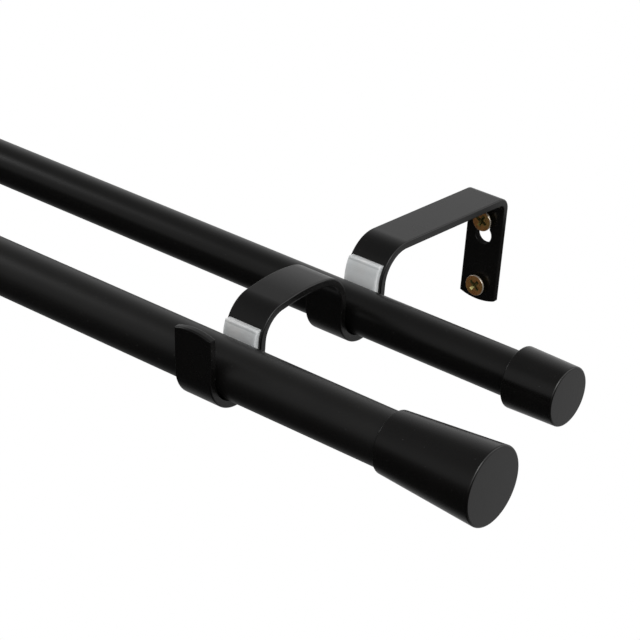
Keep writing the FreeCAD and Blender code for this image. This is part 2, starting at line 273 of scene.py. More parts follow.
def strap_tree():
    """Sweeps a soft-edged flat bar along a bent line, rounds its ends and cuts the wall plate's holes."""
    tree, given = shape_tree(
        "bent_strap",
        {
            "Width": "size", "Thickness": "size", "Edge": "size", "End Radius": "size",
            "Foot Edge": "size", "Lip Edge": "size",
            "Foot": "vector", "Lip": "vector", "Lip Turn": "vector",
            "Seat": "vector", "Entry": "vector", "Lower Hole": "vector", "Slot": "vector",
            "Slot Size": "vector", "Hole Radius": "size", "Entry Radius": "size", "Place": "vector",
        },
    )
    line = rounded_line(tree, given["Outline"], BEND_STEPS["strap"])
    bar = add(
        tree,
        "GeometryNodeCurvePrimitiveQuadrilateral",
        {"Width": given["Width"], "Height": given["Thickness"]},
    )
    feeds = {"Curve": bar.outputs[0], "Count": EDGE_STEPS["strap"], "Radius": given["Edge"]}
    section = add(tree, "GeometryNodeFilletCurve", feeds, mode="POLY")
    feeds = {"Curve": line, "Profile Curve": section.outputs[0], "Fill Caps": True}
    body = add(tree, "GeometryNodeCurveToMesh", feeds).outputs[0]

    deep = maths(tree, "MULTIPLY", given["Thickness"], 3.0)
    wide = maths(tree, "MULTIPLY", given["Width"], 1.5)
    block_size = add(tree, "ShaderNodeCombineXYZ", {"X": wide, "Y": deep, "Z": given["Thickness"]})
    block = add(tree, "GeometryNodeMeshCube", {"Size": block_size.outputs[0]}).outputs[0]
    band = maths(tree, "MULTIPLY", given["Thickness"], 2.0)
    feeds = {"Width": band, "Height": maths(tree, "ADD", given["Thickness"], TRIM_SLACK * MM)}
    rim = add(tree, "GeometryNodeCurvePrimitiveQuadrilateral", feeds).outputs[0]
    inner = maths(tree, "SUBTRACT", given["End Radius"], maths(tree, "DIVIDE", band, 2.0))
    feeds = {"Resolution": SEGMENTS["trim"], "Radius": inner}
    loop = add(tree, "GeometryNodeCurvePrimitiveCircle", feeds)
    up = add(tree, "ShaderNodeCombineXYZ", {"Z": given["End Radius"]})

    def trimmer(edge):
        feeds = {"Curve": rim, "Count": EDGE_STEPS["trim"], "Radius": edge}
        eased = add(tree, "GeometryNodeFilletCurve", feeds, mode="POLY").outputs[0]
        feeds = {"Curve": loop.outputs["Curve"], "Profile Curve": eased}
        disc = add(tree, "GeometryNodeCurveToMesh", feeds).outputs[0]
        return cut(tree, block, carried(tree, disc, up.outputs[0], (math.pi / 2, 0, 0)))

    def hole(radius, place):
        feeds = {"Vertices": SEGMENTS["hole"], "Radius": radius, "Depth": deep}
        drill = add(tree, "GeometryNodeMeshCylinder", feeds).outputs["Mesh"]
        return carried(tree, drill, place, (math.pi / 2, 0, 0))

    slot = add(tree, "GeometryNodeMeshCube", {"Size": given["Slot Size"]}).outputs[0]
    body = cut(
        tree,
        body,
        carried(tree, trimmer(given["Foot Edge"]), given["Foot"]),
        carried(tree, trimmer(given["Lip Edge"]), given["Lip"], given["Lip Turn"]),
        hole(given["Hole Radius"], given["Seat"]),
        hole(given["Entry Radius"], given["Entry"]),
        hole(given["Hole Radius"], given["Lower Hole"]),
        carried(tree, slot, given["Slot"]),
    )
    hand_over(tree, given, carried(tree, body, given["Place"]))
    return tree


def pad_tree():
    """Sweeps a soft ribbed strip up a cradle's rear wall, its end unstretched, pressed in by the pole."""
    tree, given = shape_tree(
        "ribbed_pad",
        {
            "Width": "size", "Thickness": "size", "Edge": "size", "Rib Pitch": "size", "Rib Height": "size",
            "Pole": "vector", "Pole Radius": "size", "Place": "vector",
        },
    )
    line = rounded_line(tree, given["Outline"], BEND_STEPS["pad"])
    step = maths(tree, "DIVIDE", given["Rib Pitch"], STEPS_PER_RIB)
    spine = add(tree, "GeometryNodeResampleCurve", {"Curve": line, "Length": step}, mode="LENGTH").outputs[0]
    done = add(tree, "GeometryNodeSplineParameter").outputs["Length"]
    left = maths(tree, "SUBTRACT", add(tree, "GeometryNodeSplineLength").outputs["Length"], done)

    def stored(geometry, name, value, kind="FLOAT"):
        feeds = {"Geometry": geometry, "Name": name, "Value": value}
        return add(tree, "GeometryNodeStoreNamedAttribute", feeds, data_type=kind, domain="POINT").outputs[0]

    def recalled(name, kind="FLOAT"):
        return add(tree, "GeometryNodeInputNamedAttribute", {"Name": name}, data_type=kind).outputs[0]

    spine = stored(spine, "ahead", left)
    spine = stored(spine, "run", add(tree, "GeometryNodeInputTangent").outputs[0], "FLOAT_VECTOR")
    spine = stored(spine, "spine", add(tree, "GeometryNodeInputPosition").outputs[0], "FLOAT_VECTOR")
    run, middle = recalled("run", "FLOAT_VECTOR"), recalled("spine", "FLOAT_VECTOR")
    feeds = {"Width": given["Width"], "Height": given["Thickness"]}
    bar = add(tree, "GeometryNodeCurvePrimitiveQuadrilateral", feeds).outputs[0]
    feeds = {"Curve": bar, "Count": EDGE_STEPS["pad"], "Radius": given["Edge"]}
    section = add(tree, "GeometryNodeFilletCurve", feeds, mode="POLY").outputs[0]
    feeds = {"Curve": spine, "Profile Curve": section, "Fill Caps": True}
    strip = add(tree, "GeometryNodeCurveToMesh", feeds).outputs[0]

    def vectors(operation, first, second, result="Vector"):
        feeds = {0: first, 1: second}
        return add(tree, "ShaderNodeVectorMath", feeds, operation=operation).outputs[result]

    outward = vectors("CROSS_PRODUCT", (1.0, 0.0, 0.0), run)
    here = add(tree, "GeometryNodeInputPosition").outputs[0]
    height = vectors("DOT_PRODUCT", vectors("SUBTRACT", here, middle), outward, "Value")
    height = maths(tree, "ADD", height, maths(tree, "DIVIDE", given["Thickness"], 2.0))
    upright = vectors("DOT_PRODUCT", run, (0.0, 0.0, 1.0), "Value")
    bend = maths(tree, "ARCCOSINE", maths(tree, "MINIMUM", upright, 1.0))
    lag = maths(tree, "MULTIPLY", maths(tree, "MULTIPLY", height, bend), -1.0)
    normal = add(tree, "GeometryNodeInputNormal").outputs[0]
    towards = vectors("DOT_PRODUCT", normal, outward, "Value")
    facing = add(tree, "ShaderNodeClamp", {"Value": towards}).outputs[0]
    turns = maths(tree, "DIVIDE", recalled("ahead"), given["Rib Pitch"])
    wave = maths(tree, "SINE", maths(tree, "MULTIPLY", turns, 2 * math.pi))
    rise = maths(tree, "MULTIPLY", maths(tree, "SUBTRACT", wave, 1.0), given["Rib Height"])
    rise = maths(tree, "MULTIPLY", rise, facing)

    def scaled(vector, factor):
        feeds = {0: vector, "Scale": factor}
        return add(tree, "ShaderNodeVectorMath", feeds, operation="SCALE").outputs[0]

    offset = vectors("ADD", scaled(outward, rise), scaled(run, lag))
    strip = stored(strip, "depth", maths(tree, "DIVIDE", height, given["Thickness"]))
    ribbed = add(tree, "GeometryNodeSetPosition", {"Geometry": strip, "Offset": offset}).outputs[0]
    across = maths(tree, "MULTIPLY", given["Width"], 2.0)
    feeds = {"Vertices": SEGMENTS["press"], "Radius": given["Pole Radius"], "Depth": across}
    pole = add(tree, "GeometryNodeMeshCylinder", feeds).outputs["Mesh"]
    pressed = cut(tree, ribbed, carried(tree, pole, given["Pole"], (0.0, math.pi / 2, 0.0)))
    hand_over(tree, given, carried(tree, pressed, given["Place"]))
    return tree


def screw_tree(turned):
    """A turned screw with a tapered cross recess in its head and a thread wound round its core."""
    tree, given = shape_tree(
        "wall_screw",
        {
            "Segments": "count", "Core": "size", "Ridge": "size", "Pitch": "size",
            "Thread Length": "size", "Tip Length": "size", "Thread Start": "size", "Head Face": "size",
            "Recess Span": "size", "Recess Width": "size", "Recess Depth": "size", "Recess Turn": "size",
            "Place": "vector",
        },
    )
    feeds = {name: given[name] for name in ("Outline", "Segments", "Finish")}
    body = add(tree, "GeometryNodeGroup", {**feeds, "Hub": SCREW_HUB * MM}, node_tree=turned)

    def wing(turn, share):
        deep = maths(tree, "MULTIPLY", given["Recess Depth"], share)
        narrow = RECESS_FLOOR / math.sqrt(2)
        broad = (2.0 - RECESS_FLOOR) / math.sqrt(2)
        feeds = {
            "Vertices": 4,
            "Radius Top": maths(tree, "MULTIPLY", given["Recess Span"], narrow),
            "Radius Bottom": maths(tree, "MULTIPLY", given["Recess Span"], broad),
            "Depth": maths(tree, "MULTIPLY", deep, 2.0),
        }
        spike = add(tree, "GeometryNodeMeshCone", feeds).outputs["Mesh"]
        square = carried(tree, spike, turn=(0, 0, math.pi / 4))
        thin = maths(tree, "DIVIDE", given["Recess Width"], given["Recess Span"])
        scale = add(tree, "ShaderNodeCombineXYZ", {"X": 1.0, "Y": thin, "Z": 1.0})
        flat = carried(tree, square, scale=scale.outputs[0])
        bearing = add(tree, "ShaderNodeCombineXYZ", {"Z": maths(tree, "ADD", given["Recess Turn"], turn)})
        sink = add(tree, "ShaderNodeCombineXYZ", {"Z": maths(tree, "SUBTRACT", given["Head Face"], deep)})
        return carried(tree, flat, sink.outputs[0], bearing.outputs[0])

    headed = cut(tree, body.outputs[0], wing(0.0, 1.0), wing(math.pi / 2, SECOND_WING))
    # Faces marked for the zinc's colour: a painted highlight on the head's rim, painted shade in the recess
    # and under the head.
    normal = add(tree, "GeometryNodeInputNormal").outputs[0]
    level = maths(tree, "ABSOLUTE", add(tree, "ShaderNodeSeparateXYZ", {"Vector": normal}).outputs["Z"])
    place = add(tree, "GeometryNodeInputPosition").outputs[0]
    here = add(tree, "ShaderNodeSeparateXYZ", {"Vector": place}).outputs
    deep = maths(tree, "SUBTRACT", here["Z"], given["Head Face"])
    flat = add(tree, "ShaderNodeCombineXYZ", {"X": here["X"], "Y": here["Y"]}).outputs[0]
    far = add(tree, "ShaderNodeVectorMath", {0: flat}, operation="LENGTH").outputs["Value"]
    outside = maths(tree, "GREATER_THAN", far, maths(tree, "MULTIPLY", given["Recess Span"], RIM_SHEEN_FROM))
    inside = maths(tree, "SUBTRACT", 1.0, outside)
    rim = maths(tree, "MULTIPLY", outside, maths(tree, "LESS_THAN", deep, RIM_SHEEN_DEPTH * MM))
    sunk = maths(tree, "GREATER_THAN", deep, RECESS_SHADE_DEPTH * MM)
    recess = maths(tree, "MULTIPLY", inside, sunk)
    below = maths(tree, "GREATER_THAN", deep, HEAD_SHADE_DEPTH * MM)
    kept = {
        "rim_sheen": maths(tree, "MULTIPLY", rim, ramp(tree, level, 0.98, 0.8, 0.0, 1.0)),
        "shade": maths(tree, "MAXIMUM", recess, below),
    }
    for name, value in kept.items():
        feeds = {"Geometry": headed, "Name": name, "Value": value}
        marked = add(tree, "GeometryNodeStoreNamedAttribute", feeds, data_type="FLOAT", domain="FACE")
        headed = marked.outputs[0]

    ridge = add(tree, "GeometryNodeCurvePrimitiveCircle", {"Resolution": 3, "Radius": given["Ridge"]})
    ridge = carried(tree, ridge.outputs["Curve"], scale=(1.0, 0.8, 1.0))

    def thread(end_radius, length, start, taper):
        feeds = {
            "Resolution": SEGMENTS["thread"],
            "Rotations": maths(tree, "DIVIDE", length, given["Pitch"]),
            "Start Radius": given["Core"],
            "End Radius": end_radius,
            "Height": length,
        }
        helix = add(tree, "GeometryNodeCurveSpiral", feeds)
        level = add(tree, "GeometryNodeSetCurveNormal", {"Curve": helix.outputs[0]}, mode="Z_UP")
        done = add(tree, "GeometryNodeSplineParameter").outputs["Factor"]
        size = maths(tree, "SUBTRACT", 1.0, maths(tree, "MULTIPLY", done, taper))
        feeds = {"Curve": level.outputs[0], "Profile Curve": ridge, "Scale": size, "Fill Caps": True}
        wound = add(tree, "GeometryNodeCurveToMesh", feeds).outputs[0]
        begin = add(tree, "ShaderNodeCombineXYZ", {"Z": start})
        return carried(tree, wound, begin.outputs[0])

    shank_thread = thread(given["Core"], given["Thread Length"], given["Thread Start"], 0.0)
    tip_start = maths(tree, "ADD", given["Thread Start"], given["Thread Length"])
    tip_thread = thread(TIP_END * MM, given["Tip Length"], tip_start, TIP_TAPER)
    whole = joined(tree, headed, shank_thread, tip_thread)
    hand_over(tree, given, carried(tree, whole, given["Place"], (-math.pi / 2, 0, 0)))
    return tree


# Making pieces

def grown(name, corners, rounds, tree, sizes, finish, closed=False, hole_round=0.0):
    """A piece made by a shape tree from its corners, as a plain closed mesh with its faces outwards.

    With a hole_round, the edges of the wall plate's holes are eased by that much.
    """
    runs = [(i, i + 1) for i in range(len(corners) - 1)]
    if closed:
        runs.append((len(corners) - 1, 0))
    outline = bpy.data.meshes.new(name)
    outline.from_pydata([Vector(corner) * MM for corner in corners], runs, [])
    outline.attributes.new("round", "FLOAT", "POINT").data.foreach_set("value", [r * MM for r in rounds])
    piece = bpy.data.objects.new(name, outline)
    maker = piece.modifiers.new(tree.name, "NODES")
    maker.node_group = tree
    values = {**sizes, "Finish": finish}
    for item in tree.interface.items_tree:
        if item.in_out == "INPUT" and item.name in values:
            maker[item.identifier] = values[item.name]
    bpy.context.scene.collection.objects.link(piece)
    settle(piece)
    shell = bmesh.new()
    shell.from_mesh(piece.data)
    bmesh.ops.remove_doubles(shell, verts=shell.verts, dist=SAME_POINT)
    bmesh.ops.dissolve_degenerate(shell, edges=shell.edges, dist=SAME_POINT)
    bmesh.ops.recalc_face_normals(shell, faces=shell.faces)
    if hole_round:
        weight = shell.edges.layers.float.new("bevel_weight_edge")
        for edge in shell.edges:
            by_hole = all(abs(vertex.co.z) < HOLES_REACH * MM for vertex in edge.verts)
            edge[weight] = float(by_hole and edge.calc_face_angle(0.0) > HOLE_ANGLE)
    shell.to_mesh(piece.data)
    shell.free()
    piece.data.shade_smooth()
    piece.data.set_sharp_from_angle(angle=SHARP_ANGLE)
    if hole_round:
        bevel = piece.modifiers.new("soft_edges", "BEVEL")
        bevel.width = hole_round * MM
        bevel.segments = EDGE_STEPS["hole"]
        bevel.limit_method = "WEIGHT"
        bevel.use_clamp_overlap = False
    level = piece.modifiers.new("flat_faces", "WEIGHTED_NORMAL")
    level.keep_sharp = True
    settle(piece)
    return piece


def settle(piece):
    """Turns a piece's modifiers into its plain mesh."""
    graph = bpy.context.evaluated_depsgraph_get()
    made = bpy.data.meshes.new_from_object(piece.evaluated_get(graph))
    piece.modifiers.clear()
    piece.data = made


def seated(piece, body):
    """The piece rides on its body in place of the CAD node of its own name."""
    node = piece.name.removeprefix("visual_")
    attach(piece, body)
    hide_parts(node)


# Finishes

def coat_group():
    """Fine orange-peel grain, broad mottle and sparse dust specks of a coated surface."""
    tree, given = new_tree(
        "coat_surface",
        "ShaderNodeTree",
        {"Vector": "vector", "Grain": "size", "Mottle": "size", "Dust": "size"},
        {"Height": "size", "Cloud": "size", "Specks": "size"},
    )
    place = given["Vector"]
    grain = add(tree, "ShaderNodeTexNoise", {"Vector": place, "Scale": given["Grain"], "Detail": 2.0})
    cloud = add(tree, "ShaderNodeTexNoise", {"Vector": place, "Scale": given["Mottle"], "Detail": 3.0})
    cells = add(tree, "ShaderNodeTexVoronoi", {"Vector": place, "Scale": given["Dust"]})
    feeds = {"Value": cells.outputs["Distance"], "From Min": 0.08, "From Max": 0.03}
    near = add(tree, "ShaderNodeMapRange", feeds)
    chance = add(tree, "ShaderNodeSeparateColor", {"Color": cells.outputs["Color"]})
    few = maths(tree, "GREATER_THAN", chance.outputs[0], 0.8)
    specks = maths(tree, "MULTIPLY", near.outputs[0], few)
    leaving = tree.nodes.new("NodeGroupOutput")
    tree.links.new(grain.outputs[0], leaving.inputs["Height"])
    tree.links.new(cloud.outputs[0], leaving.inputs["Cloud"])
    tree.links.new(specks, leaving.inputs["Specks"])
    return tree


def grey(level):
    """A neutral colour."""
    return (level, level, level, 1.0)


def black(level):
    """A near black with a trace of warmth."""
    return (level * 1.1, level, level * 0.9, 1.0)


def finish(name):
    """A new material with its Principled shader."""
    material = bpy.data.materials.new(name)
    material.use_nodes = True
    return material, material.node_tree, material.node_tree.nodes["Principled BSDF"]


def blend(tree, share, first, second):
    """A colour between two, by a share."""
    feeds = {"Factor": share, "A": first, "B": second}
    node = tree.nodes.new("ShaderNodeMix")
    node.data_type = "RGBA"
    for socket in node.inputs:
        if socket.name in feeds and socket.type == ("VALUE" if socket.name == "Factor" else "RGBA"):
            value = feeds[socket.name]
            if isinstance(value, bpy.types.NodeSocket):
                tree.links.new(value, socket)
            else:
                socket.default_value = value
    return [socket for socket in node.outputs if socket.type == "RGBA"][0]


def between(tree, value, low, high):
    """A value spread from low to high."""
    return add(tree, "ShaderNodeMapRange", {"Value": value, "To Min": low, "To Max": high}).outputs[0]


def coated(name, group, dark, light, smooth, rough, grain, bump, gloss):
    """A satin black coat: two near blacks, a drifting gloss, grain in the normal and a few dust specks."""
    material, tree, shader = finish(name)
    place = add(tree, "ShaderNodeTexCoord").outputs["Object"]
    feeds = {"Vector": place, "Grain": grain, "Mottle": COAT_MOTTLE, "Dust": COAT_DUST}
    surface = add(tree, "ShaderNodeGroup", feeds, node_tree=group)
    coat = blend(tree, surface.outputs["Cloud"], dark, light)
    dusty = blend(tree, maths(tree, "MULTIPLY", surface.outputs["Specks"], 0.3), coat, grey(0.2))
    tree.links.new(dusty, shader.inputs["Base Color"])
    shader.inputs["Specular IOR Level"].default_value = gloss
    tree.links.new(between(tree, surface.outputs["Cloud"], smooth, rough), shader.inputs["Roughness"])
    feeds = {"Strength": bump, "Distance": COAT_BUMP * MM, "Height": surface.outputs["Height"]}
    tree.links.new(add(tree, "ShaderNodeBump", feeds).outputs[0], shader.inputs["Normal"])
    return material


def frosted_pad():
    """Milky clear soft plastic, painted paler towards the pole to stand in for light where the pole shades
    it.
    """
    material, tree, shader = finish("clear_pad")
    place = add(tree, "ShaderNodeTexCoord").outputs["Object"]
    cloud = add(tree, "ShaderNodeTexNoise", {"Vector": place, "Scale": PAD_CLOUD, "Detail": 3.0}).outputs[0]
    stretch = add(tree, "ShaderNodeMapping", {"Vector": place, "Scale": (40.0, 900.0, 900.0)})
    feeds = {"Vector": stretch.outputs[0], "Scale": 1.0, "Detail": 2.0}
    streak = add(tree, "ShaderNodeTexNoise", feeds).outputs[0]
    mix = maths(tree, "ADD", maths(tree, "MULTIPLY", cloud, 0.6), maths(tree, "MULTIPLY", streak, 0.4))
    tint = add(tree, "ShaderNodeTexNoise", {"Vector": place, "Scale": 110.0, "Detail": 1.0}).outputs[0]
    clear = blend(tree, mix, (0.51, 0.53, 0.535, 1.0), (0.68, 0.695, 0.70, 1.0))
    colour = blend(tree, between(tree, tint, -1.4, 1.4), clear, (0.66, 0.64, 0.625, 1.0))
    depth = add(tree, "ShaderNodeAttribute", attribute_name="depth").outputs["Fac"]
    ahead = add(tree, "ShaderNodeAttribute", attribute_name="ahead").outputs["Fac"]
    off_seam = maths(tree, "ABSOLUTE", maths(tree, "SUBTRACT", depth, 0.42))
    seam = ramp(tree, off_seam, 0.03, 0.1, 0.3, 0.0)
    # Painted shade: a darker line across the front face just below the strip's top end.
    near_end = maths(tree, "ABSOLUTE", maths(tree, "SUBTRACT", ahead, 0.8 * MM))
    on_face = ramp(tree, depth, 0.9, 0.97, 0.0, 1.0)
    end_shade_line = maths(tree, "MULTIPLY", ramp(tree, near_end, 0.2 * MM, 0.5 * MM, 0.3, 0.0), on_face)
    # Painted light: paler from the top end down towards the pole, against the shade the pole casts.
    painted_fill_light = blend(tree, ramp(tree, ahead, 2.5 * MM, 9.0 * MM, 0.0, 0.5), colour, (0.86, 0.87, 0.87, 1.0))
    colour = blend(tree, maths(tree, "ADD", seam, end_shade_line), painted_fill_light, (0.2, 0.21, 0.21, 1.0))
    tree.links.new(colour, shader.inputs["Base Color"])
    tree.links.new(between(tree, cloud, 0.32, 0.5), shader.inputs["Roughness"])
    feeds = {"Strength": 0.25, "Distance": PAD_BUMP * MM, "Height": streak}
    tree.links.new(add(tree, "ShaderNodeBump", feeds).outputs[0], shader.inputs["Normal"])
    shader.inputs["Subsurface Weight"].default_value = 0.8
    shader.inputs["Subsurface Radius"].default_value = (1.0, 1.0, 1.0)
    shader.inputs["Subsurface Scale"].default_value = 0.003
    shader.inputs["IOR"].default_value = 1.45
    return material


def yellow_zinc():
    """Passivated zinc plate: gold that drifts to brown and olive, with a painted highlight on the head's rim
    and painted shade in the recess and under the head.
    """
    material, tree, shader = finish("yellow_zinc")
    place = add(tree, "ShaderNodeTexCoord").outputs["Object"]
    cloud = add(tree, "ShaderNodeTexNoise", {"Vector": place, "Scale": 420.0, "Detail": 4.0}).outputs[0]
    drift = add(tree, "ShaderNodeTexNoise", {"Vector": place, "Scale": 190.0, "Detail": 2.0}).outputs[0]
    brown = blend(tree, between(tree, cloud, -0.6, 1.6), (0.40, 0.16, 0.05, 1.0), (0.52, 0.25, 0.08, 1.0))
    plate = blend(tree, between(tree, drift, -1.6, 1.6), brown, (0.44, 0.34, 0.10, 1.0))
    rim_sheen = add(tree, "ShaderNodeAttribute", attribute_name="rim_sheen").outputs["Fac"]
    shade = add(tree, "ShaderNodeAttribute", attribute_name="shade").outputs["Fac"]
    sunk = blend(tree, shade, plate, (0.24, 0.21, 0.08, 1.0))
    # Painted highlight: the head's rim turns pale silver.
    colour = blend(tree, maths(tree, "MULTIPLY", rim_sheen, 0.8), sunk, (0.74, 0.72, 0.64, 1.0))
    tree.links.new(colour, shader.inputs["Base Color"])
    tree.links.new(between(tree, cloud, 0.2, 0.36), shader.inputs["Roughness"])
    shader.inputs["Metallic"].default_value = 0.8
    return material


coat = coat_group()
# The tubes wear two copies of one coat, the back one darker and with a weaker shine: painted shade on the
# back pole.
tube_blacks = {
    "front": coated(
        "black_front_tube", coat, black(0.0016), black(0.003),
        smooth=0.34, rough=0.42, grain=2600.0, bump=0.22, gloss=0.42,
    ),
    "back": coated(
        "black_back_tube", coat, black(0.0012), black(0.0024),
        smooth=0.29, rough=0.35, grain=2600.0, bump=0.22, gloss=0.35,
    ),
}
black_strap = coated(
    "black_strap_coat", coat, black(0.0012), black(0.0024),
    smooth=0.22, rough=0.3, grain=2200.0, bump=0.3, gloss=0.38,
)
black_cap = coated(
    "black_cap_coat", coat, black(0.0014), black(0.0028),
    smooth=0.18, rough=0.26, grain=3000.0, bump=0.3, gloss=0.38,
)
black_plastic = coated(
    "black_plastic", coat, black(0.003), black(0.006),
    smooth=0.4, rough=0.5, grain=1800.0, bump=0.4, gloss=0.5,
)
clear_pad = frosted_pad()
zinc = yellow_zinc()


# Poles

turned = turned_tree()
ALONG_X = (0.0, math.pi / 2, 0.0)


def turned_piece(name, outline, rounds, pole, finish, closed):
    """A piece turned about a pole's axis from (x, radius) points."""
    corners = [(radius, -x, 0.0) for x, radius in outline]
    sizes = {
        "Segments": SEGMENTS["pole"],
        "Hub": 1.0 * MM,
        "Turn": ALONG_X,
        "Place": (0.0, pole["y"] * MM, pole["z"] * MM),
    }
    return grown(name, corners, rounds, turned, sizes, finish, closed)


def tube(name, diameter, start, end, pole, finish):
    """A thin-walled tube with its cut edges eased."""
    outer = diameter / 2
    inner = outer - TUBE_WALL
    outline = [(start, outer), (end, outer), (end, inner), (start, inner)]
    return turned_piece(name, outline, [TUBE_LIP] * 4, pole, finish, True)


def cap(name, pole, end_x, side):
    """A tapered cap with a blind socket over a pole's end."""
    mouth = end_x - side * pole["cap_seat"]
    tip = mouth + side * pole["cap_length"]
    socket = pole["outer"] / 2 + SEAT_CLEARANCE
    floor = end_x + side * SEAT_CLEARANCE
    outline = [
        (tip, 0.0),
        (tip, pole["cap_end"] / 2),
        (mouth, pole["cap_mouth"] / 2),
        (mouth, socket),
        (floor, socket),
        (floor, 0.0),
    ]
    rounds = [0.0, CAP_END_ROUND, CAP_MOUTH_ROUND, 0.0, 0.0, 0.0]
    return turned_piece(name, outline, rounds, pole, black_cap, False)


for place, pole in POLES.items():
    moving = place + "_extension"
    coating = tube_blacks[place]
    outer = tube("visual_" + place + "_outer_tube", pole["outer"], OUTER_MOUTH_X, OUTER_END_X, pole, coating)
    seated(outer, "wall_frame")
    inner = tube("visual_" + place + "_inner_tube", pole["inner"], INNER_END_X, HIDDEN_END_X, pole, coating)
    seated(inner, moving)
    right = cap("visual_" + place + "_finial_right", pole, OUTER_END_X, 1)
    seated(right, "wall_frame")
    left = cap("visual_" + place + "_finial_left", pole, INNER_END_X, -1)
    seated(left, moving)
    for hidden in ("_mouth_bush", "_glide", "_finial_sleeve"):
        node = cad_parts[place + hidden]
        node.data.materials.clear()
        node.data.materials.append(black_plastic)


# Brackets

def half_turn(before, corner, after):
    """Half the angle by which a line turns at a corner."""
    return (corner - before).angle(after - corner) / 2


def strap_line():
    """Corners and bend radii of the strap's middle line, from the wall plate's foot to the lip's tip."""
    front, back = POLES["front"], POLES["back"]
    half = STRAP_THICKNESS / 2
    middle_z = front["z"] - half
    back_rear = back["y"] + back["outer"] / 2 + PAD_GAP + half
    back_front = back["y"] - back["outer"] / 2 - BACK_PLAY - half
    back_floor = back["z"] - back["outer"] / 2 - SEAT_CLEARANCE - half
    back_radius = (back_rear - back_front) / 2
    front_rear = front["y"] + front["outer"] / 2 + PAD_GAP + half
    front_floor = front["z"] - front["outer"] / 2 - SEAT_CLEARANCE - half
    front_radius = (front["outer"] + PAD_GAP + FRONT_PLAY + STRAP_THICKNESS) / 2
    lip_foot = front_rear - front_radius * (1 + math.tan((math.pi / 2 - LIP_LEAN) / 2))
    lip_z = front["z"] + LIP_HEIGHT
    lip_y = lip_foot - (lip_z - front_floor) * math.tan(LIP_LEAN)
    corners = [
        Vector((0, -half, -PLATE_DROP)),
        Vector((0, -half, middle_z + ARM_WALL_HEIGHT)),
        Vector((0, back_rear, middle_z + ARM_FRONT_HEIGHT)),
        Vector((0, back_rear, back_floor)),
        Vector((0, back_front, back_floor)),
        Vector((0, back_front, middle_z + BACK_SHOULDER_HEIGHT)),
        Vector((0, front["y"] + CREST_FROM_FRONT_POLE, middle_z + CREST_HEIGHT)),
        Vector((0, front_rear, middle_z + FRONT_SHOULDER_HEIGHT)),
        Vector((0, front_rear, front_floor)),
        Vector((0, lip_foot, front_floor)),
        Vector((0, lip_y, lip_z)),
    ]
    back_bend = ARM_BEND + half
    front_bend = SHOULDER_BEND + half
    back_run = (corners[6] - corners[5]).length - back_bend * math.tan(half_turn(*corners[4:7]))
    front_run = (corners[6] - corners[7]).length - front_bend * math.tan(half_turn(*corners[6:9]))
    crown = min(back_run, front_run) / math.tan(half_turn(*corners[5:8]))
    radii = [
        0.0, PLATE_BEND + half, ARM_BEND + half, back_radius, back_radius, back_bend,
        crown * CROWN_SHARE, front_bend, front_radius, front_radius, 0.0,
    ]
    return corners, radii


strap = strap_tree()
pad_strip = pad_tree()
screw = screw_tree(turned)
line, bends = strap_line()


def at(x, y, z):
    """A place in millimetres as a plain vector in metres."""
    return (x * MM, y * MM, z * MM)


def bracket(name, x):
    """One bent strap with its rounded ends and the holes of its wall plate."""
    plate_y = -STRAP_THICKNESS / 2
    seat_z = SCREW_PITCH / 2
    sizes = {
        "Width": STRAP_WIDTH * MM,
        "Thickness": STRAP_THICKNESS * MM,
        "Edge": STRAP_EDGE * MM,
        "End Radius": STRAP_END_RADIUS * MM,
        "Foot Edge": FOOT_EDGE * MM,
        "Lip Edge": LIP_EDGE * MM,
        "Foot": tuple(line[0] * MM),
        "Lip": tuple(line[-1] * MM),
        "Lip Turn": (math.pi + LIP_LEAN, 0.0, 0.0),
        "Seat": at(0, plate_y, seat_z),
        "Entry": at(0, plate_y, seat_z - KEYHOLE_DROP),
        "Lower Hole": at(0, plate_y, -seat_z),
        "Slot": at(0, plate_y, seat_z - KEYHOLE_DROP / 2),
        "Slot Size": at(SCREW_HOLE, STRAP_THICKNESS * 3, KEYHOLE_DROP),
        "Hole Radius": SCREW_HOLE / 2 * MM,
        "Entry Radius": KEYHOLE / 2 * MM,
        "Place": at(x, 0, 0),
    }
    return grown(name, line, bends, strap, sizes, black_strap, hole_round=HOLE_ROUND)


def pad(name, pole, wrap, x):
    """A soft strip on a cradle's rear wall, following the start of the bend above it."""
    face = pole["y"] + pole["outer"] / 2 + PAD_GAP
    middle = face - PAD_THICKNESS / 2
    half = STRAP_THICKNESS / 2
    corner = next(i for i, point in enumerate(line) if abs(point.y - face - half) < 0.01)
    bend = bends[corner] + half
    bend_z = line[corner].z - bends[corner] * math.tan(half_turn(*line[corner - 1:corner + 2]))
    low = line[corner + 1].z + bends[corner + 1] * math.tan(half_turn(*line[corner:corner + 3]))
    radius = bend + PAD_THICKNESS / 2
    centre = Vector((0, face + bend, bend_z))
    reach = radius * math.tan(wrap / 2)
    end = centre + Vector((0, -radius * math.cos(wrap), radius * math.sin(wrap)))
    corners = [Vector((0, middle, low + PAD_LIFT)), Vector((0, middle, bend_z + reach)), end]
    sizes = {
        "Width": (STRAP_WIDTH - PAD_MARGIN * 2) * MM,
        "Thickness": PAD_THICKNESS * MM,
        "Edge": PAD_EDGE * MM,
        "Rib Pitch": RIB_PITCH * MM,
        "Rib Height": RIB_HEIGHT * MM,
        "Pole": at(0, pole["y"], pole["z"]),
        "Pole Radius": (pole["outer"] / 2 + SEAT_CLEARANCE) * MM,
        "Place": at(x, 0, 0),
    }
    return grown(name, corners, [0.0, radius, 0.0], pad_strip, sizes, clear_pad)


